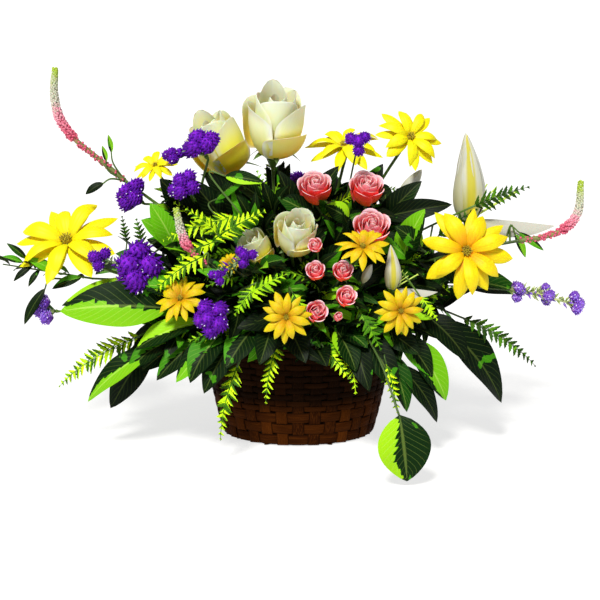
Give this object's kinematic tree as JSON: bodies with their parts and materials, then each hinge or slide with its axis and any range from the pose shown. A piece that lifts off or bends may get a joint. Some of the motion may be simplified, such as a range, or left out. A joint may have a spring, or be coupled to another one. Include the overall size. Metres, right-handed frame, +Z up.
{
  "type": "flower basket arrangement",
  "caption": "Mixed cut-flower arrangement of roses, daisies, lilies, statice and fern fronds standing in floral foam in an oval plaited basket.",
  "frame": {"origin": "middle of the basket's base, on the surface it stands on", "axes": "+X to the arrangement's right as seen from the front, -Y towards the front, +Z up"},
  "size_m": [0.6436, 0.3561, 0.4061],
  "materials": {
    "basket_brown": "dark stained and varnished split wood",
    "liner_green": "plain dark green plastic",
    "foam_green": "matte open-cell floral foam",
    "leaf_green": "satin green leaf",
    "petal_cream": "soft matte petal, yellow at the foot",
    "petal_pink": "soft matte petal, pale at the edge",
    "petal_yellow": "soft matte petal",
    "petal_gold": "soft matte petal",
    "petal_purple": "dry papery petal",
    "petal_lavender": "dry papery petal",
    "petal_white": "soft satin petal",
    "petal_spike": "matte buds, pink below and pale green at the tip"
  },
  "bodies": {
    "root": {"basket": "basket_brown", "basket_rim": "basket_brown", "cream_rose_behind": "petal_cream", "cream_rose_front": "petal_cream", "cream_rose_side": "petal_cream", "cream_rose_top": "petal_cream", "daisy_back_left": "petal_gold", "daisy_back_right": "petal_gold", "daisy_behind_left": "petal_gold", "daisy_centre": "petal_gold", "daisy_front": "petal_gold", "daisy_front_left": "petal_gold", "daisy_front_right": "petal_gold", "daisy_left": "petal_yellow", "daisy_right": "petal_yellow", "daisy_small": "petal_gold", "daisy_top": "petal_yellow", "daisy_top_right": "petal_yellow", "foam": "foam_green", "greens_back": "leaf_green", "greens_back_left": "leaf_green", "greens_back_right": "leaf_green", "greens_centre": "leaf_green", "greens_front": "leaf_green", "greens_front_left": "leaf_green", "greens_front_right": "leaf_green", "greens_left": "leaf_green", "greens_left_low": "leaf_green", "greens_left_top": "leaf_green", "greens_right": "leaf_green", "greens_right_low": "leaf_green", "greens_right_top": "leaf_green", "greens_top": "leaf_green", "lavender_left": "petal_lavender", "lavender_right": "petal_lavender", "lily_bud_high": "petal_white", "lily_bud_low": "petal_white", "liner": "liner_green", "pink_rose_left": "petal_pink", "pink_rose_low": "petal_pink", "pink_rose_right": "petal_pink", "spray_rose_1": "petal_pink", "spray_rose_2": "petal_pink", "spray_rose_3": "petal_pink", "spray_rose_4": "petal_pink", "spray_rose_5": "petal_pink", "spray_rose_bud": "petal_pink", "statice_back": "petal_purple", "statice_far_left": "petal_purple", "statice_front_high": "petal_purple", "statice_front_low": "petal_purple", "statice_left": "petal_purple", "statice_mid_left": "petal_purple", "statice_top": "petal_purple", "statice_top_left": "petal_purple", "veronica_front": "petal_spike", "veronica_left": "petal_spike", "veronica_right": "petal_spike", "white_lily": "petal_white", "white_lily_small": "petal_white"}
  },
  "joints": []
}
